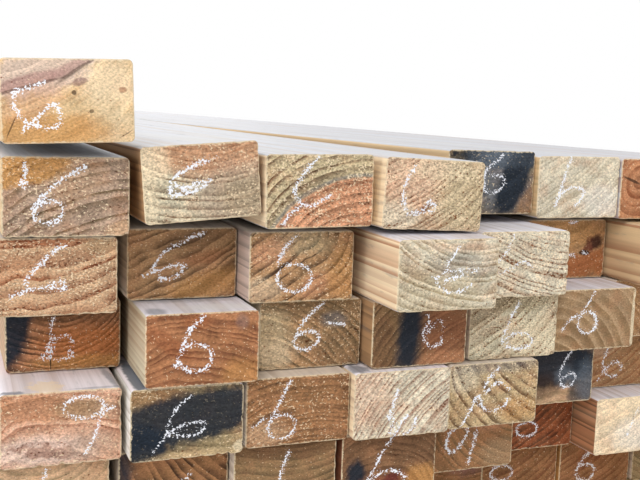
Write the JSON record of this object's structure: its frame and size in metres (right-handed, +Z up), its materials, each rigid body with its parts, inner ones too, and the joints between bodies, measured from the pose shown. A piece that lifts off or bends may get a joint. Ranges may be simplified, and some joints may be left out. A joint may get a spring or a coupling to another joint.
{
  "type": "stack of lumber",
  "caption": "Stack of long dressed softwood framing boards with eased edges, laid flat in layers with uneven sawn ends, and one loose board lying on top.",
  "frame": {"origin": "centre of the stack's footprint, on the floor under the bottom layer", "axes": "+Y along the boards, away from the near ends, +X across the stack to the right as seen from the near ends, +Z up"},
  "size_m": [0.597, 6.115, 0.4184],
  "materials": {
    "softwood": "planed sides, rough-sawn ends"
  },
  "bodies": {
    "root": {"board_layer_1": "softwood", "board_layer_2": "softwood", "board_layer_3": "softwood", "board_layer_4": "softwood", "board_layer_5": "softwood", "board_layer_6": "softwood", "board_layer_7": "softwood", "board_layer_8": "softwood", "top_board": "softwood"}
  },
  "joints": []
}
